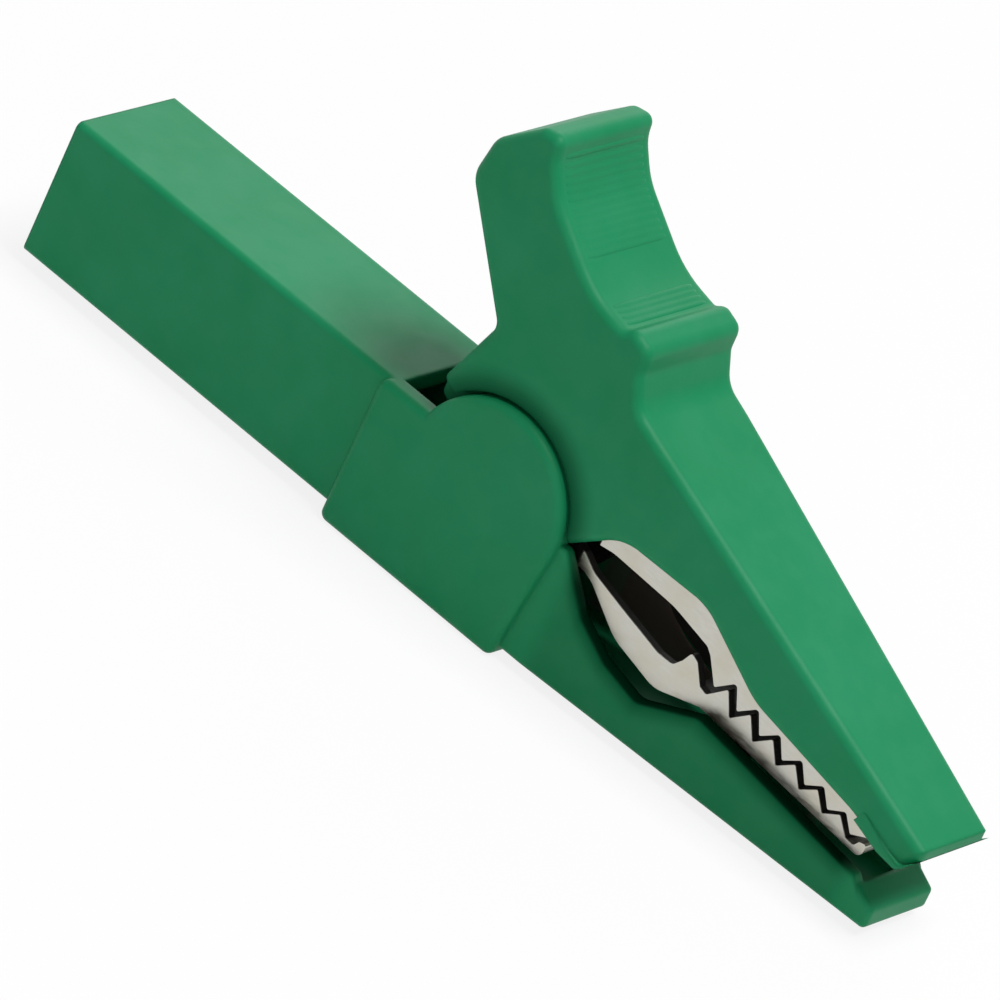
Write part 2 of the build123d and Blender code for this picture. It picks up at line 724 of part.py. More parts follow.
# Contact socket: a 4 mm bore for the plug, a flange against the bulkhead and a spigot through it
with BuildPart() as contact_socket:
    with BuildSketch(Plane.XZ):
        with BuildLine():
            spigot_end = bulkhead_x + bulkhead
            Polyline(
                (rear_x + socket_setback, tail_mid_z),
                (rear_x + socket_setback, tail_mid_z + plug_radius + socket_wall - 0.2),
                (rear_x + socket_setback + 0.2, tail_mid_z + plug_radius + socket_wall),
                (bulkhead_x - flange_thickness, tail_mid_z + plug_radius + socket_wall),
                (bulkhead_x - flange_thickness, tail_mid_z + flange_radius),
                (bulkhead_x - fit_gap, tail_mid_z + flange_radius),
                (bulkhead_x - fit_gap, tail_mid_z + spigot_radius),
                (spigot_end, tail_mid_z + spigot_radius),
                (spigot_end, tail_mid_z),
                close=True,
            )
        make_face()
    revolve(axis=Axis((0, 0, tail_mid_z), (1, 0, 0)))
    with BuildSketch(Plane.YZ.offset(rear_x + socket_setback)):
        with Locations((0, tail_mid_z)):
            Circle(plug_radius)
    extrude(amount=plug_depth, mode=Mode.SUBTRACT)
    with BuildSketch(Plane.YZ.offset(spigot_end)):
        with Locations((0, tail_mid_z)):
            Circle(screw_radius + fit_gap)
    extrude(amount=-bulkhead, mode=Mode.SUBTRACT)
contact_socket.part.label = "contact_socket"

# Lock washer: a split ring
with BuildPart() as lock_washer:
    with BuildSketch(Plane.YZ.offset(washer_x)):
        with Locations((0, tail_mid_z)):
            Circle(washer_radius)
            Circle(screw_radius + 2 * fit_gap, mode=Mode.SUBTRACT)
        with Locations((0, tail_mid_z + washer_radius)):
            Rectangle(0.5, washer_radius, mode=Mode.SUBTRACT)
    extrude(amount=washer_thickness)
lock_washer.part.label = "lock_washer"

# Screw: a pan head with a slot
with BuildPart() as socket_screw:
    with BuildSketch(Plane.YZ.offset(head_x - screw_length)):
        with Locations((0, tail_mid_z)):
            Circle(screw_radius)
    extrude(amount=screw_length)
    with BuildSketch(Plane.YZ.offset(head_x)):
        with Locations((0, tail_mid_z)):
            Circle(screw_head_radius)
    extrude(amount=screw_head_height)
    fillet(socket_screw.edges().sort_by(Axis.X)[-1], 0.6)
    chamfer(socket_screw.edges().sort_by(Axis.X)[0], 0.3)
    with BuildSketch(Plane.YZ.offset(head_x + screw_head_height)):
        with Locations((0, tail_mid_z)):
            Rectangle(2 * screw_head_radius, 0.8)
    extrude(amount=-0.8, mode=Mode.SUBTRACT)
socket_screw.part.label = "socket_screw"

pieces = (
    lower_housing,
    upper_housing,
    lower_jaw,
    upper_jaw,
    hinge_pin,
    torsion_spring,
    contact_socket,
    socket_screw,
    lock_washer,
)
os.makedirs("parts", exist_ok=True)
for piece in pieces:
    print(piece.part.label, round(piece.part.volume, 2), piece.part.is_valid, len(piece.part.solids()))
    export_step(piece.part, f"parts/{piece.part.label}.step")
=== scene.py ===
"""Looks for an insulated crocodile clip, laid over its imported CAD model.

Meshes are in metres, in the frame of the model: +X from the tail to the nose, +Y across the clip
and +Z up. The sizes in the classes are in millimetres, and ahead and above are counted from the
hinge's axis, as in the part's source. The studio and its lamps are in metres.
"""
import logging
import math
from dataclasses import dataclass, field
from enum import Enum
from typing import Iterable, Sequence, Union

import bpy
from mathutils import Matrix, Vector


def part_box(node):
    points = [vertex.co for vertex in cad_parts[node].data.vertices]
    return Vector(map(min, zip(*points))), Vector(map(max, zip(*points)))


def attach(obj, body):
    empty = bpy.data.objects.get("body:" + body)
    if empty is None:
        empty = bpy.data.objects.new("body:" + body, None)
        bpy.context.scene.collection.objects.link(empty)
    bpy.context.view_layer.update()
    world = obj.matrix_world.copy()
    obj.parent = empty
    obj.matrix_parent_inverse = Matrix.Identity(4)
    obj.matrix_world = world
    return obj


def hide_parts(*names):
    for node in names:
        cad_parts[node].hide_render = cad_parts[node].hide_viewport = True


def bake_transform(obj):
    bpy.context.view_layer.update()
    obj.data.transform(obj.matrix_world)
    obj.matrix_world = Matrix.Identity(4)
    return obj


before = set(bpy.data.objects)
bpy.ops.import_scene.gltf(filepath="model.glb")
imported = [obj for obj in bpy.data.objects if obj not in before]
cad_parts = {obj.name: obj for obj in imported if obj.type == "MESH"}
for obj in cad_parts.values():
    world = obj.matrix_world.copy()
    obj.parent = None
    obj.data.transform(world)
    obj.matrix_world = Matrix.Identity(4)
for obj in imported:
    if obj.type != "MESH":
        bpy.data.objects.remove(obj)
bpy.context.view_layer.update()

LOG = logging.getLogger("crocodile_clip")
MM = 0.001

# The curve between a screen's colours and linear light
SCREEN_FULL = 255
SCREEN_KNEE = 0.04045
SCREEN_SLOPE = 12.92
SCREEN_OFFSET = 0.055
SCREEN_SCALE = 1.055
SCREEN_POWER = 2.4

# Blender's noise, and the values between which most of it lies
NOISE_ROUGHNESS = 0.55
NOISE_LOW = 0.3
NOISE_HIGH = 0.7

Colour = tuple[float, float, float]
Socket = bpy.types.NodeSocket
Value = Union[float, Socket]


class Node(str, Enum):
    """The nodes of the CAD model."""

    LOWER_HOUSING = "lower_housing"
    UPPER_HOUSING = "upper_housing"
    LOWER_JAW = "lower_jaw"
    UPPER_JAW = "upper_jaw"
    HINGE_PIN = "hinge_pin"
    TORSION_SPRING = "torsion_spring"
    CONTACT_SOCKET = "contact_socket"
    SOCKET_SCREW = "socket_screw"
    LOCK_WASHER = "lock_washer"


class Body(str, Enum):
    """The bodies that the pieces ride on."""

    LOWER_HALF = "lower_half"
    UPPER_HALF = "upper_half"


def hinge_place() -> Vector:
    """Give the place of the hinge's axis, in the middle of the pin."""
    low, high = (Vector(corner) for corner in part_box(Node.HINGE_PIN.value))
    return (low + high) / 2


def add_object(name: str, data: bpy.types.ID) -> bpy.types.Object:
    """Make an object and put it in the scene.

    Args:
        name: The object's name.
        data: Its mesh, lamp or camera.

    Returns:
        The object.
    """
    thing = bpy.data.objects.new(name, data)
    bpy.context.scene.collection.objects.link(thing)
    return thing


def linear(red: int, green: int, blue: int) -> Colour:
    """Turn a colour as a screen shows it into the linear values that shaders take.

    Args:
        red: Red from 0 to 255.
        green: Green from 0 to 255.
        blue: Blue from 0 to 255.

    Returns:
        The three linear values.
    """
    values = []
    for channel in (red, green, blue):
        share = channel / SCREEN_FULL
        if share <= SCREEN_KNEE:
            values.append(share / SCREEN_SLOPE)
        else:
            values.append(((share + SCREEN_OFFSET) / SCREEN_SCALE) ** SCREEN_POWER)
    return (values[0], values[1], values[2])


class NodeTree:
    """A tree of nodes, with short ways to add and join them."""

    def __init__(self, tree: bpy.types.NodeTree) -> None:
        """Take a tree.

        Args:
            tree: The tree that the nodes go to.
        """
        self.tree = tree

    def add(self, kind: str, **values: object) -> bpy.types.Node:
        """Add a node.

        Args:
            kind: The node's type.
            **values: Settings of the node, or values of its inputs by name with _ for a space.

        Returns:
            The new node.
        """
        node = self.tree.nodes.new(kind)
        for key, value in values.items():
            if hasattr(node, key):
                setattr(node, key, value)
            else:
                node.inputs[key.replace("_", " ")].default_value = value
        return node

    def feed(self, value: Value, target: Socket) -> None:
        """Join a socket to another, or set a number on it.

        Args:
            value: What the target takes.
            target: The input.
        """
        if isinstance(value, (int, float)):
            target.default_value = value
        else:
            self.tree.links.new(value, target)

    def sum(self, operation: str, *values: Value) -> Socket:
        """Work something out.

        Args:
            operation: Blender's name for it.
            *values: What it takes.

        Returns:
            The socket of the result.
        """
        node = self.add("ShaderNodeMath", operation=operation)
        for value, target in zip(values, node.inputs):
            self.feed(value, target)
        return node.outputs["Value"]


class ShaderTree(NodeTree):
    """The shader nodes of a material or of the world, empty at first."""

    def __init__(self, owner: Union[bpy.types.Material, bpy.types.World]) -> None:
        """Clear the owner's nodes.

        Args:
            owner: The material or the world.
        """
        owner.use_nodes = True
        super().__init__(owner.node_tree)
        self.tree.nodes.clear()
        kind = "World" if isinstance(owner, bpy.types.World) else "Material"
        self.output = self.add(f"ShaderNodeOutput{kind}")
        self._coordinates: bpy.types.Node | None = None
        self._place: Socket | None = None

    def show(self, surface: Socket) -> None:
        """Join a finished surface or background to the output."""
        self.feed(surface, self.output.inputs["Surface"])

    def place(self) -> Socket:
        """Give the place on the piece, in millimetres from the hinge's axis.

        Returns:
            The vector socket.
        """
        if self._place is None:
            self._coordinates = self.add("ShaderNodeTexCoord")
            mapping = self.add("ShaderNodeMapping")
            mapping.inputs["Location"].default_value = -hinge_place() / MM
            mapping.inputs["Scale"].default_value = (1 / MM, 1 / MM, 1 / MM)
            self.feed(self._coordinates.outputs["Object"], mapping.inputs["Vector"])
            self._place = mapping.outputs["Vector"]
        return self._place

    def upward(self) -> Socket:
        """Give how far a surface faces up.

        Returns:
            A socket from -1 for down to 1 for up.
        """
        self.place()
        split = self.add("ShaderNodeSeparateXYZ")
        self.feed(self._coordinates.outputs["Normal"], split.inputs["Vector"])
        return split.outputs["Z"]

    def stretched(self, scale: Sequence[float]) -> Socket:
        """Give the place with a stretch of its own along each axis.

        Args:
            scale: How many times finer the pattern is along each axis.

        Returns:
            The vector socket.
        """
        mapping = self.add("ShaderNodeMapping")
        mapping.inputs["Scale"].default_value = scale
        self.feed(self.place(), mapping.inputs["Vector"])
        return mapping.outputs["Vector"]

    def axes(self) -> tuple[Socket, Socket, Socket]:
        """Give how far ahead, across and above the hinge's axis a point is.

        Returns:
            The three sockets, in millimetres.
        """
        split = self.add("ShaderNodeSeparateXYZ")
        self.feed(self.place(), split.inputs["Vector"])
        return (split.outputs["X"], split.outputs["Y"], split.outputs["Z"])

    def both(self, first: Value, *others: Value) -> Socket:
        """Multiply shares, so that the result is 1 only where each of them is.

        Args:
            first: The first share.
            *others: The other shares.

        Returns:
            The socket of the product.
        """
        for other in others:
            first = self.sum("MULTIPLY", first, other)
        return first

    def spread(self, value: Socket, start: float, end: float, low: float = 0, high: float = 1,
               smooth: bool = True) -> Socket:
        """Map a value from one range to another.

        Args:
            value: The value to map.
            start: Value that gives low.
            end: Value that gives high.
            low: Result at the start.
            high: Result at the end.
            smooth: Whether the change begins and ends softly.

        Returns:
            The socket of the result.
        """
        kind = "SMOOTHSTEP" if smooth else "LINEAR"
        node = self.add("ShaderNodeMapRange", interpolation_type=kind, From_Min=start, From_Max=end,
                        To_Min=low, To_Max=high)
        self.feed(value, node.inputs["Value"])
        return node.outputs["Result"]

    def noise(self, vector: Socket, size: float, detail: float) -> Socket:
        """Add noise.

        Args:
            vector: Where the pattern is read, in millimetres.
            size: Rough size of a spot in millimetres.
            detail: How many finer layers it has.

        Returns:
            The socket of the noise value.
        """
        node = self.add("ShaderNodeTexNoise", Scale=1 / size, Detail=detail,
                        Roughness=NOISE_ROUGHNESS)
        self.feed(vector, node.inputs["Vector"])
        return node.outputs["Fac"]

    def blend(self, share: Socket, first: Union[Colour, Socket],
              second: Union[Colour, Socket]) -> Socket:
        """Mix two colours.

        Args:
            share: How much of the second colour there is.
            first: Colour at 0.
            second: Colour at 1.

        Returns:
            The socket of the mixed colour.
        """
        node = self.add("ShaderNodeMix", data_type="RGBA")
        targets = [socket for socket in node.inputs if socket.type == "RGBA"]
        for colour, target in zip((first, second), targets):
            if isinstance(colour, tuple):
                target.default_value = (*colour, 1)
            else:
                self.feed(colour, target)
        self.feed(share, node.inputs["Factor"])
        return next(socket for socket in node.outputs if socket.type == "RGBA")

    def bumps(self, height: Socket, depth: float, strength: float,
              before: Socket | None = None) -> Socket:
        """Turn heights into a bumpy surface.

        Args:
            height: The height, from 0 to 1.
            depth: Its full depth in millimetres.
            strength: How much it shows.
            before: Bumps that these are added to.

        Returns:
            The normal socket.
        """
        bump = self.add("ShaderNodeBump", Strength=strength, Distance=depth * MM)
        self.feed(height, bump.inputs["Height"])
        if before is not None:
            self.feed(before, bump.inputs["Normal"])
        return bump.outputs["Normal"]

    def seen(self) -> Socket:
        """Tell the rays that reach the camera straight, by way of gloss or through glass.

        Returns:
            A socket that is 1 for those rays and 0 for the others.
        """
        path = self.add("ShaderNodeLightPath")
        seen = path.outputs["Is Camera Ray"]
        for kind in ("Is Glossy Ray", "Is Transmission Ray"):
            seen = self.sum("MAXIMUM", seen, path.outputs[kind])
        return seen

    def mixed(self, share: Socket, first: bpy.types.Node, second: bpy.types.Node) -> Socket:
        """Mix two surfaces or backgrounds.

        Args:
            share: How much of the second there is.
            first: Node that shows at 0.
            second: Node that shows at 1.

        Returns:
            The socket of the mix.
        """
        mix = self.add("ShaderNodeMixShader")
        for value, target in zip((share, first.outputs[0], second.outputs[0]), mix.inputs):
            self.feed(value, target)
        return mix.outputs[0]


@dataclass(frozen=True)
class Narrowing:
    """Half a width that narrows evenly towards the nose, in millimetres from the hinge's axis."""

    start: float
    end: float
    wide: float
    narrow: float

    def within(self, shader: ShaderTree, inset: float, blur: float) -> Socket:
        """Tell how far a point is inside this width.

        Args:
            shader: The material's tree.
            inset: How far inside the full width the change lies.
            blur: How wide the change is.

        Returns:
            A socket that is 1 well inside and 0 outside.
        """
        ahead, across, _ = shader.axes()
        half = shader.spread(ahead, self.start, self.end, self.wide, self.narrow, smooth=False)
        depth = shader.sum("SUBTRACT", half, shader.sum("ABSOLUTE", across))
        return shader.spread(depth, inset - blur / 2, inset + blur / 2)


@dataclass(frozen=True)
class Shaded:
    """A colour, and how much of a shade's own colour is in it."""

    colour: Socket
    share: Socket


@dataclass(frozen=True)
class HollowShade:
    """Painted shade on the inside of a jaw cover, behind the metal jaws.

    It lies ahead of the rear, behind the front, below the top and inside the cover's width. What
    faces up keeps its own colour.
    """

    width: Narrowing
    rear: float
    front: float
    top: float
    rear_blur: float = 1.0
    front_blur: float = 3.0
    top_blur: float = 1.0
    inset: float = 0.9
    inset_blur: float = 0.3
    faces_up: float = 0.5
    faces_sideways: float = 0.3
    # The colour of the painted shade, which stands in for the little light that gets inside.
    dark: Colour = linear(95, 82, 78)

    def shade(self, shader: ShaderTree, colour: Socket) -> Shaded:
        """Paint shade into a colour inside the hollow.

        Args:
            shader: The material's tree.
            colour: The plain colour.

        Returns:
            The darkened colour.
        """
        ahead, _, above = shader.axes()
        share = shader.both(shader.spread(ahead, self.front, self.front - self.front_blur),
                            shader.spread(ahead, self.rear, self.rear + self.rear_blur),
                            shader.spread(above, self.top, self.top - self.top_blur),
                            shader.spread(shader.upward(), self.faces_up, self.faces_sideways),
                            self.width.within(shader, self.inset, self.inset_blur))
        return Shaded(shader.blend(share, colour, self.dark), share)


@dataclass(frozen=True)
class Rim:
    """The shade on the lower jaw cover's flanks, which is deepest along the wavy rim.

    The points are the rim's corners, ahead of the hinge's axis and above it, and low and high are
    the heights between which they lie.
    """

    width: Narrowing
    points: tuple[tuple[float, float], ...] = (
        (7.5, 0.6), (10.6, -2.85), (13.6, -4.6), (17.1, -5.55), (21.9, -3.45), (27.0, -4.25),
        (37.5, -5.95))
    low: float = -8.0
    high: float = 2.0
    end_blur: float = 2.0
    reach: float = 1.9
    overlap: float = 0.3
    strength: float = 0.8
    inset: float = 1.1
    inset_blur: float = 0.2
    faces_sideways: float = 0.2
    faces_up: float = 0.8
    crest_reach: float = 1.5
    crest_full: float = 0.8
    green: Colour = linear(6, 74, 44)
    crest: Colour = linear(2, 38, 22)
    flank: Colour = linear(10, 116, 72)

    def height(self, shader: ShaderTree) -> Socket:
        """Give how high the rim is at a point's place along the clip.

        Args:
            shader: The material's tree.

        Returns:
            The socket of the height above the hinge's axis.
        """
        curve = shader.add("ShaderNodeFloatCurve")
        first, last = self.points[0][0], self.points[-1][0]
        line = curve.mapping.curves[0]
        while len(line.points) < len(self.points):
            line.points.new(0.5, 0.5)
        for point, (ahead, above) in zip(line.points, self.points):
            point.location = ((ahead - first) / (last - first),
                              (above - self.low) / (self.high - self.low))
            point.handle_type = "VECTOR"
        curve.mapping.update()
        along = shader.spread(shader.axes()[0], first, last, smooth=False)
        shader.feed(along, curve.inputs["Value"])
        return shader.spread(curve.outputs["Value"], 0, 1, self.low, self.high, smooth=False)

    def shade(self, shader: ShaderTree, colour: Socket) -> Shaded:
        """Darken a colour on the flanks.

        Args:
            shader: The material's tree.
            colour: The plain colour.

        Returns:
            The darkened colour.
        """
        ahead, _, above = shader.axes()
        first, last = self.points[0][0], self.points[-1][0]
        along = shader.both(shader.spread(ahead, first, first + self.end_blur),
                            shader.spread(ahead, last, last - self.end_blur))
        below = shader.sum("SUBTRACT", self.height(shader), above)
        edge = shader.both(along, shader.spread(below, self.reach, -self.overlap), self.strength)
        outside = shader.sum("SUBTRACT", 1, self.width.within(shader, self.inset, self.inset_blur))
        shaded = shader.blend(shader.both(along, outside), colour, self.flank)
        share = shader.both(edge, outside)
        shaded = shader.blend(share, shaded, self.green)
        top = shader.both(along, outside,
                          shader.spread(shader.upward(), self.faces_sideways, self.faces_up),
                          shader.spread(below, self.crest_reach, self.crest_full))
        return Shaded(shader.blend(top, shaded, self.crest), shader.sum("MAXIMUM", share, top))


@dataclass(frozen=True)
class Groove:
    """The shade in the groove between the cheeks' round tops and the lever's flanks."""

    radius: float = 7.2
    width: float = 2.5
    share: float = 0.8
    green: Colour = linear(10, 70, 42)

    def shade(self, shader: ShaderTree, colour: Socket) -> Shaded:
        """Darken a colour next to the groove.

        Args:
            shader: The material's tree.
            colour: The plain colour.

        Returns:
            The darkened colour.
        """
        ahead, _, above = shader.axes()
        squares = shader.sum("ADD", shader.both(ahead, ahead), shader.both(above, above))
        radius = shader.sum("SQRT", squares)
        dark = shader.spread(radius, self.radius + self.width, self.radius, 0, self.share)
        return Shaded(shader.blend(dark, colour, self.green), dark)


@dataclass(frozen=True)
class MouldedPlastic:
    """Moulded plastic with faint clouds in its colour and gloss, and a fine moulded grain."""

    name: str
    shades: tuple[Union[HollowShade, Rim, Groove], ...] = ()
    colour: Colour = linear(18, 130, 82)
    pale: Colour = linear(25, 134, 88)
    cloud_size: float = 9.0
    refraction: float = 1.5
    roughness: float = 0.45
    gloss: float = 0.15
    gloss_above: float = 0.03
    gloss_below: float = 0.02
    gloss_size: float = 2.5
    grain: float = 0.010
    grain_size: float = 0.16
    grain_strength: float = 0.25
    softness: float = 0.45
    edge_samples: int = 6

    def build(self) -> bpy.types.Material:
        """Build the material.

        Returns:
            The material.
        """
        material = bpy.data.materials.new(self.name)
        shader = ShaderTree(material)
        surface = shader.add("ShaderNodeBsdfPrincipled", IOR=self.refraction,
                             Roughness=self.roughness)
        patches = shader.noise(shader.place(), self.gloss_size, detail=4)
        gloss = shader.spread(patches, NOISE_LOW, NOISE_HIGH, self.gloss + self.gloss_above,
                              self.gloss - self.gloss_below)
        clouds = shader.noise(shader.place(), self.cloud_size, detail=3)
        colour = shader.blend(shader.spread(clouds, NOISE_LOW, NOISE_HIGH), self.colour, self.pale)
        # Each shade paints shade into the colour and takes gloss away where it lies.
        for part in self.shades:
            shaded = part.shade(shader, colour)
            colour = shaded.colour
            gloss = shader.both(gloss, shader.sum("SUBTRACT", 1, shaded.share))
        shader.feed(colour, surface.inputs["Base Color"])
        shader.feed(gloss, surface.inputs["Specular IOR Level"])
        edges = shader.add("ShaderNodeBevel", samples=self.edge_samples, Radius=self.softness * MM)
        grain = shader.bumps(shader.noise(shader.place(), self.grain_size, detail=2), self.grain,
                             self.grain_strength, edges.outputs["Normal"])
        shader.feed(grain, surface.inputs["Normal"])
        shader.show(surface.outputs["BSDF"])
        return material


@dataclass(frozen=True)
class PlatedMetal:
    """Plated sheet, wire or turned metal, with streaks in its colour, gloss and bumps.

    Where outside is given, shade is painted inside that width, as far as the tip: there the metal
    is painted very dark and matt.
    """

    name: str
    colour: Colour
    roughness: float = 0.34
    smoother: float = 0.05
    rougher: float = 0.08
    streaks: tuple[float, float, float] = (0.2, 1.0, 1.0)
    streak_size: float = 0.22
    streak_depth: float = 0.01
    streak_strength: float = 0.25
    spot_size: float = 2.4
    spot_low: float = 0.35
    worn: float = 0.88
    stain: tuple[float, float, float] = (0.90, 0.88, 0.82)
    outside: Narrowing | None = None
    skin: float = 0.09
    skin_blur: float = 0.08
    tip: float = 35.3
    tip_blur: float = 0.4
    # Very dark painted shade on the sheet's inner side and cut edges, and the roughness it adds.
    shade_black: Colour = (0.045, 0.043, 0.039)
    shade_rougher: float = 0.3

    def build(self) -> bpy.types.Material:
        """Build the material.

        Returns:
            The material.
        """
        material = bpy.data.materials.new(self.name)
        shader = ShaderTree(material)
        surface = shader.add("ShaderNodeBsdfPrincipled", Metallic=1.0)
        streaks = shader.noise(shader.stretched(self.streaks), self.streak_size, detail=3)
        lines = shader.spread(streaks, NOISE_LOW, NOISE_HIGH)
        spots = shader.spread(shader.noise(shader.place(), self.spot_size, detail=3),
                              self.spot_low, NOISE_HIGH)
        worn = tuple(part * self.worn for part in self.colour)
        stained = tuple(part * share for part, share in zip(self.colour, self.stain))
        colour = shader.blend(spots, shader.blend(lines, worn, self.colour), stained)
        rough = shader.spread(lines, 0, 1, self.roughness - self.smoother,
                              self.roughness + self.rougher)
        # Paint shade inside the sheet's outer faces, as far as the tip.
        if self.outside is not None:
            ahead = shader.axes()[0]
            inside = self.outside.within(shader, self.skin, self.skin_blur)
            dark = shader.both(inside, shader.spread(ahead, self.tip, self.tip - self.tip_blur))
            colour = shader.blend(dark, colour, self.shade_black)
            rough = shader.sum("ADD", rough, shader.both(dark, self.shade_rougher))
        shader.feed(colour, surface.inputs["Base Color"])
        shader.feed(rough, surface.inputs["Roughness"])
        shader.feed(shader.bumps(lines, self.streak_depth, self.streak_strength),
                    surface.inputs["Normal"])
        shader.show(surface.outputs["BSDF"])
        return material


def dress(node: Node, material: bpy.types.Material) -> None:
    """Give a CAD node its material.

    Args:
        node: The CAD node.
        material: What it is made of.
    """
    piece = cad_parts[node.value]
    piece.data.materials.clear()
    piece.data.materials.append(material)
    LOG.info("%s dressed in %s", node.value, material.name)


@dataclass
class RibRow:
    """A row of fine ribs across the lever's thumb pad, made by Geometry Nodes.

    A straight line in front of the pad is divided at the pitch, and each point is thrown along the
    rays onto the pad, where it carries one long bar, sunk until only a low back is left. The bar's
    ends droop into the pad, so the back fades out.
    """

    name: str
    start: tuple[float, float]
    end: tuple[float, float]
    pitch: float
    rise: float
    width: float
    depth: float
    length: float
    ray: tuple[float, float] = (-0.62, -0.785)
    bar_corners: int = 32
    bar_segments: int = 24
    droop: float = 0.5
    droop_power: float = 12.0

    def line(self) -> bpy.types.Object:
        """Draw the straight line in front of the pad.

        Returns:
            The object that holds it.
        """
        hinge = hinge_place()
        mesh = bpy.data.meshes.new(self.name)
        ends = [hinge + Vector((ahead, 0, above)) * MM for ahead, above in (self.start, self.end)]
        mesh.from_pydata(ends, [(0, 1)], [])
        return add_object(self.name, mesh)

    def bar(self, tree: NodeTree, sink: Socket) -> Socket:
        """Make one bar, two units long and two thick, whose ends droop.

        Args:
            tree: The tree of the ribs.
            sink: How far the bar is moved down.

        Returns:
            The socket of the bar.
        """
        bar = tree.add("GeometryNodeMeshCylinder", Vertices=self.bar_corners,
                       Side_Segments=self.bar_segments, Radius=1, Depth=2)
        smooth = tree.add("GeometryNodeSetShadeSmooth")
        tree.feed(bar.outputs["Mesh"], smooth.inputs["Geometry"])
        tree.feed(bar.outputs["Side"], smooth.inputs["Shade Smooth"])
        lying = tree.add("GeometryNodeTransform", Rotation=(math.pi / 2, 0, 0))
        tree.feed(smooth.outputs["Geometry"], lying.inputs["Geometry"])
        tree.feed(sink, lying.inputs["Translation"])
        place = tree.add("ShaderNodeSeparateXYZ")
        tree.feed(tree.add("GeometryNodeInputPosition").outputs["Position"], place.inputs["Vector"])
        fall = tree.sum("POWER", place.outputs["Y"], self.droop_power)
        down = tree.add("ShaderNodeVectorMath", operation="SCALE")
        down.inputs[0].default_value = (0, 0, -self.droop)
        tree.feed(fall, down.inputs["Scale"])
        drooped = tree.add("GeometryNodeSetPosition")
        tree.feed(lying.outputs["Geometry"], drooped.inputs["Geometry"])
        tree.feed(down.outputs["Vector"], drooped.inputs["Offset"])
        return drooped.outputs["Geometry"]

    def tree(self) -> bpy.types.NodeTree:
        """Build the tree that lays the ribs.

        Returns:
            The node tree.
        """
        tree = NodeTree(bpy.data.node_groups.new("ribs_on_pad", "GeometryNodeTree"))
        face = tree.tree.interface
        for name, kind in (("Line", "Geometry"), ("Pad", "Object"), ("Pitch", "Float"),
                           ("Ray", "Vector"), ("Rib Size", "Vector"), ("Sink", "Vector"),
                           ("Finish", "Material")):
            face.new_socket(name, in_out="INPUT", socket_type=f"NodeSocket{kind}")
        face.new_socket("Ribs", in_out="OUTPUT", socket_type="NodeSocketGeometry")
        given = tree.add("NodeGroupInput").outputs
        pad = tree.add("GeometryNodeObjectInfo", transform_space="RELATIVE")
        tree.feed(given["Pad"], pad.inputs["Object"])
        curve = tree.add("GeometryNodeMeshToCurve")
        tree.feed(given["Line"], curve.inputs["Mesh"])
        points = tree.add("GeometryNodeResampleCurve", mode="LENGTH")
        tree.feed(curve.outputs["Curve"], points.inputs["Curve"])
        tree.feed(given["Pitch"], points.inputs["Length"])
        throw = tree.add("GeometryNodeRaycast")
        tree.feed(pad.outputs["Geometry"], throw.inputs["Target Geometry"])
        tree.feed(given["Ray"], throw.inputs["Ray Direction"])
        keep = tree.add("GeometryNodeCaptureAttribute")
        keep.capture_items.new("VECTOR", "Upright")
        tree.feed(points.outputs["Curve"], keep.inputs["Geometry"])
        tree.feed(throw.outputs["Hit Normal"], keep.inputs["Upright"])
        land = tree.add("GeometryNodeSetPosition")
        tree.feed(keep.outputs["Geometry"], land.inputs["Geometry"])
        tree.feed(throw.outputs["Hit Position"], land.inputs["Position"])
        turn = tree.add("FunctionNodeAlignRotationToVector", axis="Z")
        tree.feed(keep.outputs["Upright"], turn.inputs["Vector"])
        lay = tree.add("GeometryNodeInstanceOnPoints")
        tree.feed(land.outputs["Geometry"], lay.inputs["Points"])
        tree.feed(self.bar(tree, given["Sink"]), lay.inputs["Instance"])
        tree.feed(turn.outputs["Rotation"], lay.inputs["Rotation"])
        tree.feed(given["Rib Size"], lay.inputs["Scale"])
        real = tree.add("GeometryNodeRealizeInstances")
        tree.feed(lay.outputs["Instances"], real.inputs["Geometry"])
        finish = tree.add("GeometryNodeSetMaterial")
        tree.feed(real.outputs["Geometry"], finish.inputs["Geometry"])
        tree.feed(given["Finish"], finish.inputs["Material"])
        tree.feed(finish.outputs["Geometry"], tree.add("NodeGroupOutput").inputs["Ribs"])
        return tree.tree

    def build(self, finish: bpy.types.Material) -> None:
        """Lay the ribs on the pad and turn them into one plain mesh.

        Args:
            finish: The plastic that they are moulded in.
        """
        line = self.line()
        lay = line.modifiers.new("ribs", "NODES")
        lay.node_group = self.tree()
        sockets = {item.name: item.identifier for item in lay.node_group.interface.items_tree}
        lay[sockets["Pad"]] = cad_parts[Node.UPPER_HOUSING.value]
        lay[sockets["Pitch"]] = self.pitch * MM
        lay[sockets["Ray"]] = (self.ray[0], 0.0, self.ray[1])
        lay[sockets["Rib Size"]] = (self.width * MM / 2, self.length * MM / 2, self.depth * MM)
        lay[sockets["Sink"]] = (0.0, 0.0, self.rise / self.depth - 1)
        lay[sockets["Finish"]] = finish
        shaped = line.evaluated_get(bpy.context.evaluated_depsgraph_get())
        mesh = bpy.data.meshes.new_from_object(shaped)
        line.modifiers.remove(lay)
        bpy.data.objects.remove(line)
        ribs = add_object(self.name, mesh)
        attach(ribs, Body.UPPER_HALF.value)
        LOG.info("%s laid, %d faces", self.name, len(mesh.polygons))


@dataclass
class LowerHousing:
    """The tail, the cheeks and the lower jaw cover, one moulding."""

    cover: Narrowing = Narrowing(start=7.9, end=39.6, wide=5.6, narrow=3.75)

    def build(self) -> None:
        """Dress the moulding. The hollow's painted shade comes last, over the rim's painted shade.
        """
        shades = (Rim(self.cover), HollowShade(self.cover, rear=5.0, front=33.0, top=2.0))
        dress(Node.LOWER_HOUSING, MouldedPlastic("green_plastic_lower", shades).build())


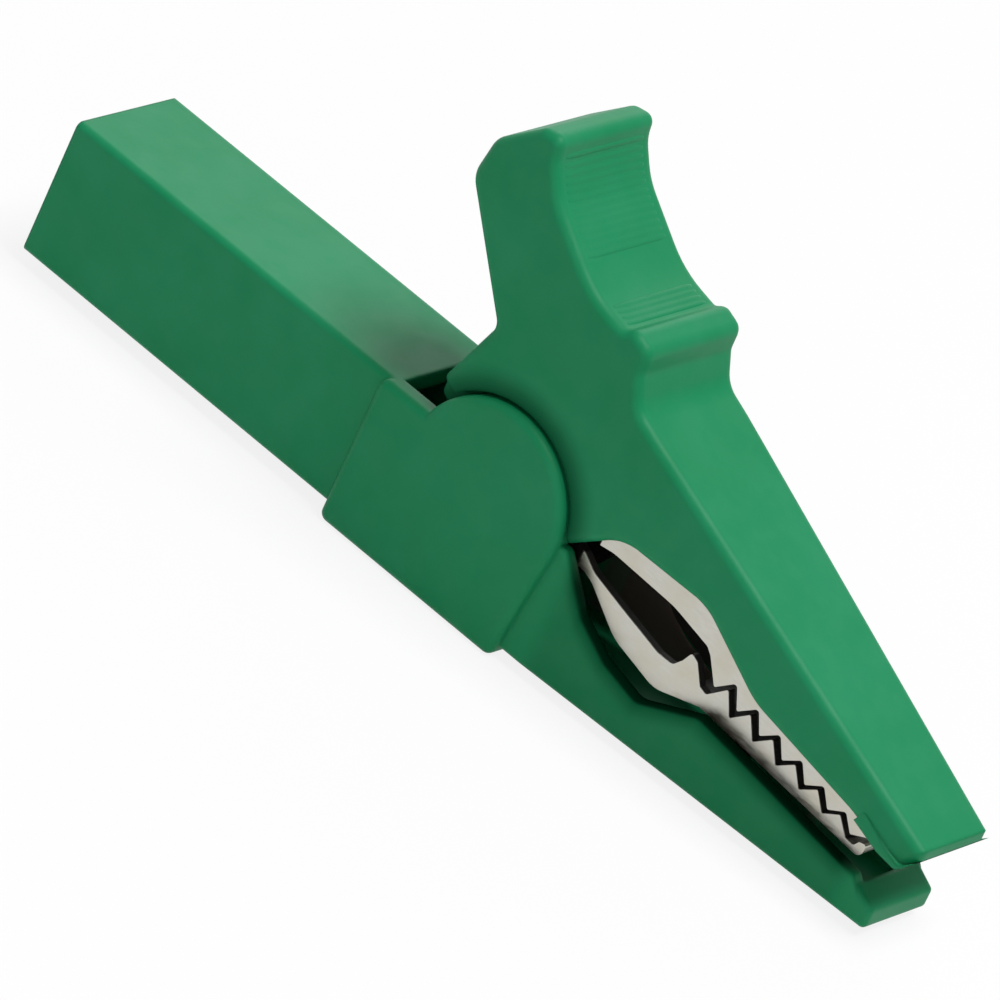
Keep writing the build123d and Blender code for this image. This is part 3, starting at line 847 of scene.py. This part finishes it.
@dataclass
class UpperHousing:
    """The lever and the upper jaw cover, one moulding with a ribbed thumb pad."""

    cover: Narrowing = Narrowing(start=9.9, end=41.2, wide=5.6, narrow=4.05)
    fine_ribs: RibRow = field(default_factory=lambda: RibRow(
        "fine_pad_ribs", start=(-5.5, 24.95), end=(-0.1, 20.7), pitch=0.55, rise=0.05, width=0.7,
        depth=0.2, length=9.6))
    crease_ribs: RibRow = field(default_factory=lambda: RibRow(
        "crease_ribs", start=(2.9, 18.3), end=(4.0, 17.45), pitch=0.46, rise=0.07, width=0.6,
        depth=0.25, length=9.6))

    def build(self) -> None:
        """Dress the moulding and lay the ribs on its thumb pad."""
        # Painted shade inside the cover and in the groove round the cheeks.
        shades = (HollowShade(self.cover, rear=5.0, front=39.0, top=12.0), Groove())
        finish = MouldedPlastic("green_plastic_upper", shades).build()
        dress(Node.UPPER_HOUSING, finish)
        self.fine_ribs.build(finish)
        self.crease_ribs.build(finish)


@dataclass
class MetalJaws:
    """The two bent metal jaws with their teeth."""

    colour: Colour = (0.60, 0.59, 0.535)
    sheet: Narrowing = Narrowing(start=8.1, end=39.6, wide=4.19, narrow=2.35)

    def build(self) -> None:
        """Dress both jaws in plated sheet, with shade painted very dark on its inner side and on
        its cut edges.
        """
        finish = PlatedMetal("plated_sheet", self.colour, outside=self.sheet).build()
        dress(Node.LOWER_JAW, finish)
        dress(Node.UPPER_JAW, finish)


@dataclass
class Hinge:
    """The pin and the torsion spring round it."""

    pin: PlatedMetal = PlatedMetal(
        "turned_pin", (0.52, 0.52, 0.50), roughness=0.3, streaks=(1.0, 0.15, 1.0))
    wire: PlatedMetal = PlatedMetal(
        "spring_wire", (0.45, 0.45, 0.44), roughness=0.3, streaks=(1, 1, 1), streak_size=0.12)
    coil_half: float = 0.65

    def build(self) -> None:
        """Dress the turned pin and the drawn wire, and put a copy of the spring in place of the CAD
        node's.
        """
        dress(Node.HINGE_PIN, self.pin.build())
        dress(Node.TORSION_SPRING, self.wire.build())
        self.wind()

    def wind(self) -> None:
        """Copy the spring into an object of its own and hide the CAD node's spring.
        """
        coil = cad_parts[Node.TORSION_SPRING.value].data.copy()
        spring = add_object("wound_spring", coil)
        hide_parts(Node.TORSION_SPRING.value)
        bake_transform(spring)


@dataclass
class PlugSocket:
    """The contact socket in the tail, and the screw and washer that hold it to the lower jaw."""

    socket: PlatedMetal = PlatedMetal(
        "turned_socket", (0.60, 0.58, 0.52), roughness=0.26, streaks=(1.0, 0.12, 0.12))
    screw: PlatedMetal = PlatedMetal(
        "screw_plate", (0.52, 0.52, 0.50), roughness=0.3, streaks=(1.0, 0.2, 0.2))

    def build(self) -> None:
        """Dress the turned socket and its fastening."""
        dress(Node.CONTACT_SOCKET, self.socket.build())
        finish = self.screw.build()
        dress(Node.SOCKET_SCREW, finish)
        dress(Node.LOCK_WASHER, finish)


@dataclass(frozen=True)
class Lamp:
    """A soft square lamp that points at the clip, its size in metres and its power in watts."""

    name: str
    place: tuple[float, float, float]
    size: float
    power: float
    target: tuple[float, float, float] = (0.0, 0.0, 0.01)

    def build(self) -> None:
        """Hang the lamp."""
        data = bpy.data.lights.new(self.name, "AREA")
        data.size = self.size
        data.energy = self.power
        lamp = add_object(self.name, data)
        lamp.location = self.place
        ray = Vector(self.target) - Vector(self.place)
        lamp.rotation_euler = ray.to_track_quat("-Z", "Y").to_euler()


@dataclass
class Studio:
    """The floor, the lamps and the camera of the photograph.

    The camera's place, from the hinge, and its three axes were fitted to the photograph's edges.
    """

    lens: float = 413.38
    sensor: float = 36.0
    nearest: float = 0.01
    furthest: float = 10.0
    away: tuple[float, float, float] = (0.326874, -0.620087, 0.379047)
    right: tuple[float, float, float] = (0.704347, 0.603523, 0.373705)
    up: tuple[float, float, float] = (-0.578589, 0.183102, 0.794801)
    back: tuple[float, float, float] = (0.411254, -0.776038, 0.478159)
    floor_half: float = 3.0
    floor_grey: float = 0.86
    floor_glow: float = 0.85
    ambient: float = 0.30
    lamps: tuple[Lamp, ...] = (
        Lamp("overhead", (0.22, 0.05, 0.85), size=0.4, power=6.5),
        Lamp("front", (0.35, -0.85, 0.35), size=0.5, power=1.0),
        Lamp("rear", (-0.45, 0.8, 0.45), size=0.7, power=1.9))

    def camera(self) -> None:
        """Stand the camera where the photograph was taken from."""
        data = bpy.data.cameras.new("camera")
        data.lens = self.lens
        data.sensor_width = self.sensor
        data.clip_start = self.nearest
        data.clip_end = self.furthest
        view = add_object("camera", data)
        turn = Matrix((self.right, self.up, self.back)).transposed().to_4x4()
        view.matrix_world = Matrix.Translation(hinge_place() + Vector(self.away)) @ turn
        bpy.context.scene.camera = view

    def floor(self) -> None:
        """Lay the pale floor that the clip lies on. It glows for the camera alone."""
        half = self.floor_half
        mesh = bpy.data.meshes.new("floor")
        mesh.from_pydata([(-half, -half, 0), (half, -half, 0), (half, half, 0), (-half, half, 0)],
                         [], [(0, 1, 2, 3)])
        plane = add_object("floor", mesh)
        material = bpy.data.materials.new("pale_floor")
        shader = ShaderTree(material)
        grey = (self.floor_grey, self.floor_grey, self.floor_grey, 1)
        matt = shader.add("ShaderNodeBsdfDiffuse", Color=grey)
        glow = shader.add("ShaderNodeEmission", Strength=1.0)
        shader.show(shader.mixed(shader.both(shader.seen(), self.floor_glow), matt, glow))
        mesh.materials.append(material)

    def world(self) -> None:
        """Surround the scene with even light that shows as white."""
        world = bpy.data.worlds.new("studio")
        bpy.context.scene.world = world
        shader = ShaderTree(world)
        light = shader.add("ShaderNodeBackground", Strength=self.ambient)
        white = shader.add("ShaderNodeBackground", Strength=1.0)
        shader.show(shader.mixed(shader.seen(), light, white))

    def build(self) -> None:
        """Build the whole studio."""
        bpy.context.scene.view_settings.view_transform = "Standard"
        self.camera()
        self.floor()
        self.world()
        for lamp in self.lamps:
            lamp.build()


def main() -> None:
    """Build the studio and dress the clip, one sub-assembly after another."""
    logging.basicConfig(level=logging.INFO, format="%(name)s %(message)s")
    Studio().build()
    for assembly in (LowerHousing(), UpperHousing(), MetalJaws(), Hinge(), PlugSocket()):
        assembly.build()


if __name__ == "__main__":
    main()
